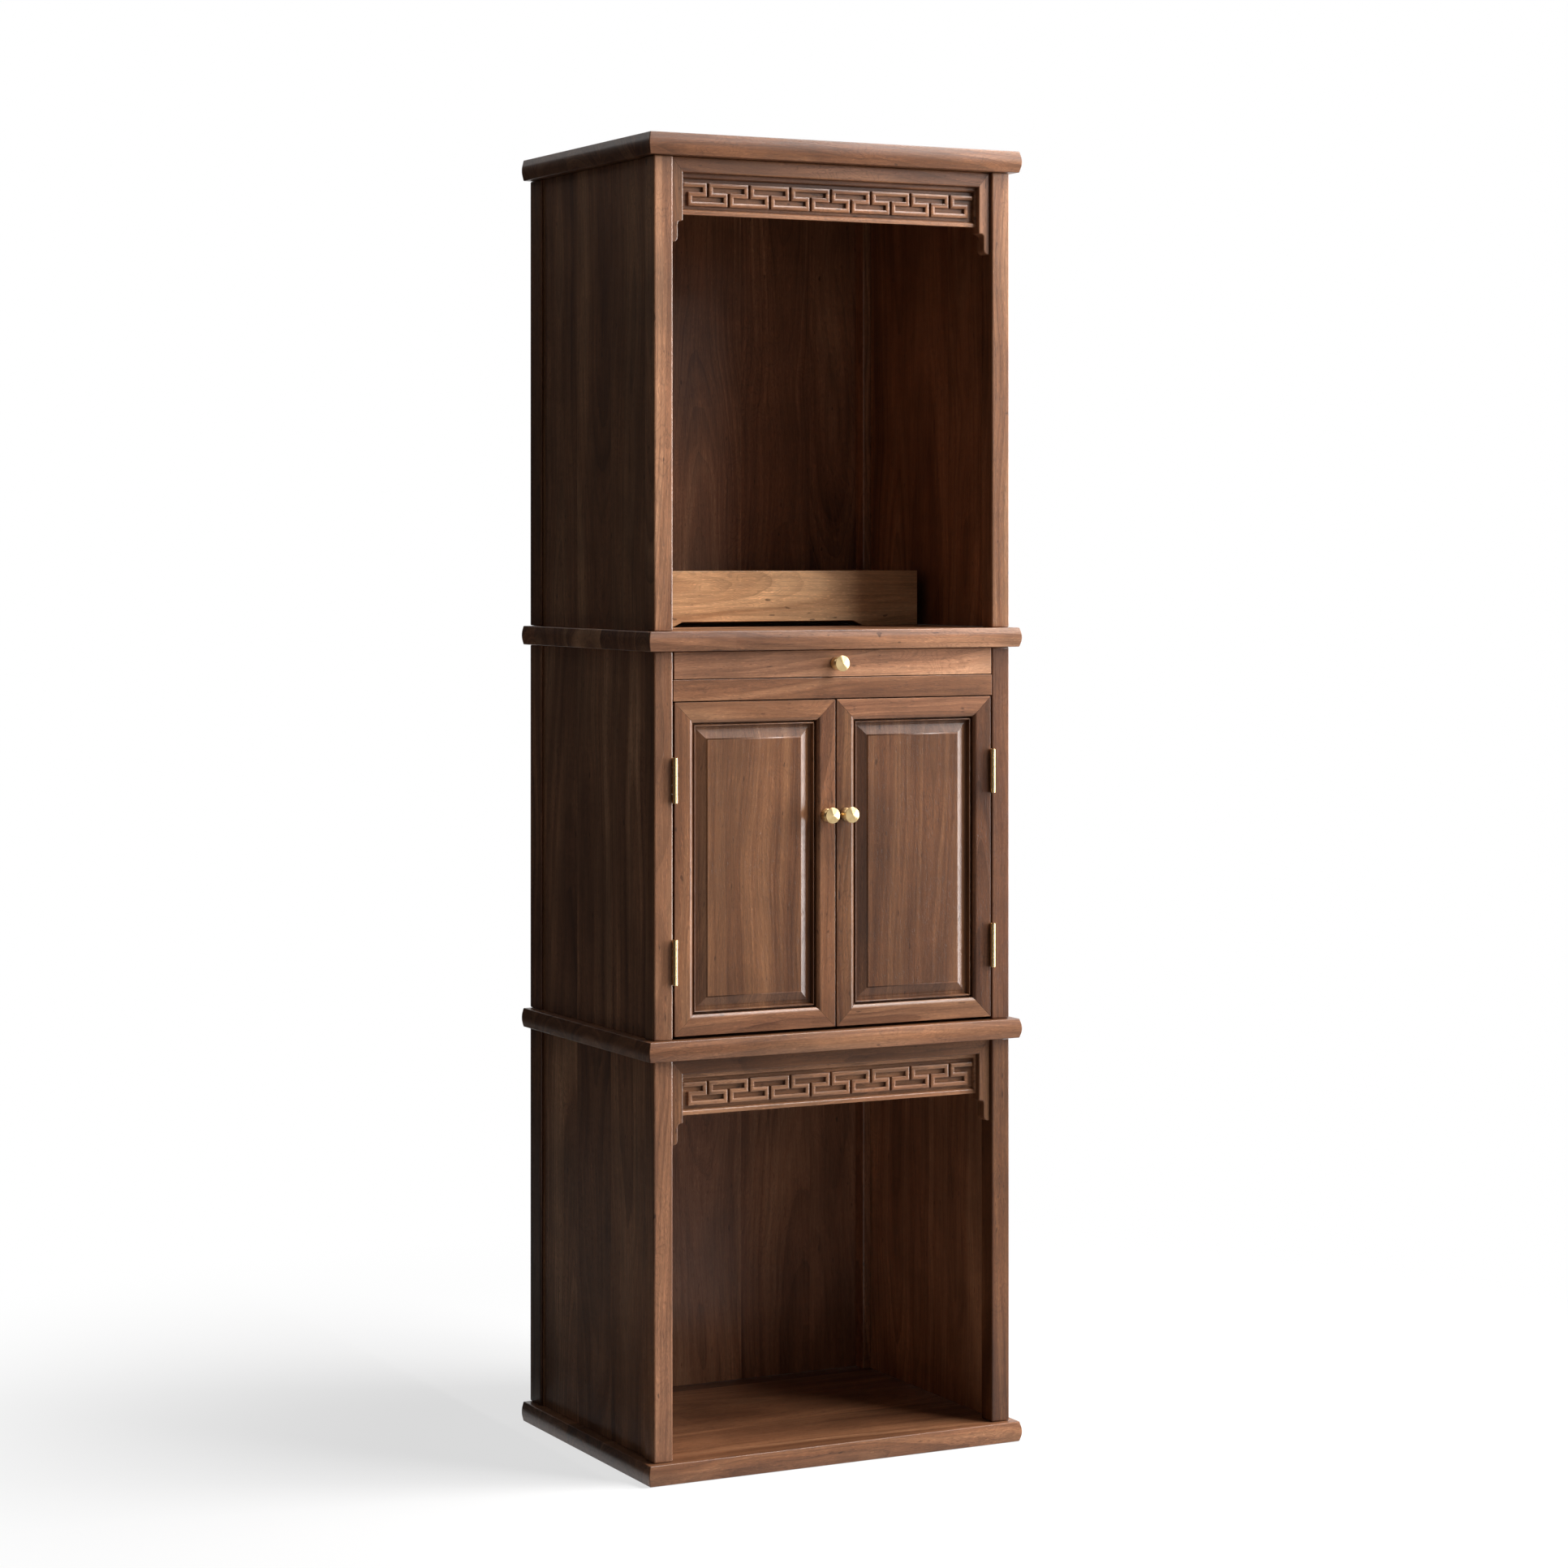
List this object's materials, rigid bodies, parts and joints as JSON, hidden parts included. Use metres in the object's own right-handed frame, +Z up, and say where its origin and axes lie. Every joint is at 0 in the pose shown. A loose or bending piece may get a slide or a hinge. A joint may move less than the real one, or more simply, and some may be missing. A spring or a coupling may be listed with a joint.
{
  "type": "shrine cabinet",
  "caption": "Tall walnut shrine cabinet with an open niche and step stand above, a pull-out tray and framed doors in the middle, an open compartment below and fret-carved aprons.",
  "frame": {"origin": "on the floor, midway between the side ridges and midway between the front ridge and the flush rear of the slabs", "axes": "+Z up, the front faces -Y, +X to the right of someone who faces the front"},
  "size_m": [0.6, 0.4585, 1.88],
  "materials": {
    "walnut": "oiled walnut with a satin sheen",
    "riser_walnut": "lighter walnut with a satin sheen",
    "brass": "polished brass"
  },
  "bodies": {
    "carcass": {"base_slab": "walnut", "lower_waist_slab": "walnut", "upper_waist_slab": "walnut", "cornice_slab": "walnut", "lower_front_left_post": "walnut", "lower_front_right_post": "walnut", "lower_rear_left_post": "walnut", "lower_rear_right_post": "walnut", "middle_front_left_post": "walnut", "middle_front_right_post": "walnut", "middle_rear_left_post": "walnut", "middle_rear_right_post": "walnut", "upper_front_left_post": "walnut", "upper_front_right_post": "walnut", "upper_rear_left_post": "walnut", "upper_rear_right_post": "walnut", "lower_left_side_panel": "walnut", "lower_right_side_panel": "walnut", "middle_left_side_panel": "walnut", "middle_right_side_panel": "walnut", "upper_left_side_panel": "walnut", "upper_right_side_panel": "walnut", "lower_back_panel": "walnut", "middle_back_panel": "walnut", "upper_back_panel": "walnut", "tray_shelf": "walnut", "lower_apron_rail": "walnut", "lower_apron_left_stile": "walnut", "lower_apron_right_stile": "walnut", "lower_fret_panel": "walnut", "upper_apron_rail": "walnut", "upper_apron_left_stile": "walnut", "upper_apron_right_stile": "walnut", "upper_fret_panel": "walnut", "left_lower_hinge_frame_leaf": "brass", "left_upper_hinge_frame_leaf": "brass", "right_lower_hinge_frame_leaf": "brass", "right_upper_hinge_frame_leaf": "brass"},
    "left_door": {"left_door_hinge_stile": "walnut", "left_door_meeting_stile": "walnut", "left_door_top_rail": "walnut", "left_door_bottom_rail": "walnut", "left_door_panel": "walnut", "left_door_knob": "brass", "left_lower_hinge_door_leaf": "brass", "left_upper_hinge_door_leaf": "brass"},
    "right_door": {"right_door_hinge_stile": "walnut", "right_door_meeting_stile": "walnut", "right_door_top_rail": "walnut", "right_door_bottom_rail": "walnut", "right_door_panel": "walnut", "right_door_knob": "brass", "right_lower_hinge_door_leaf": "brass", "right_upper_hinge_door_leaf": "brass"},
    "tray": {"tray_front": "walnut", "tray_board": "walnut", "tray_knob": "brass"},
    "riser": {"riser_top": "riser_walnut", "riser_front": "riser_walnut", "riser_back": "riser_walnut"}
  },
  "joints": [
    {"name": "left_door_swing", "type": "hinge", "parent": "carcass", "child": "left_door", "pos_m": [-0.25575, -0.2151, 0.8535], "axis": [0, 0, -1], "range_deg": [0, 170]},
    {"name": "right_door_swing", "type": "hinge", "parent": "carcass", "child": "right_door", "pos_m": [0.25575, -0.2151, 0.8535], "axis": [0, 0, 1], "range_deg": [0, 170]},
    {"name": "tray_pull", "type": "slide", "parent": "carcass", "child": "tray", "axis": [0, -1, 0], "range_m": [0, 0.25]},
    {"name": "riser_slide", "type": "slide", "parent": "carcass", "child": "riser", "axis": [0, -1, 0], "range_m": [0, 0.185]}
  ]
}
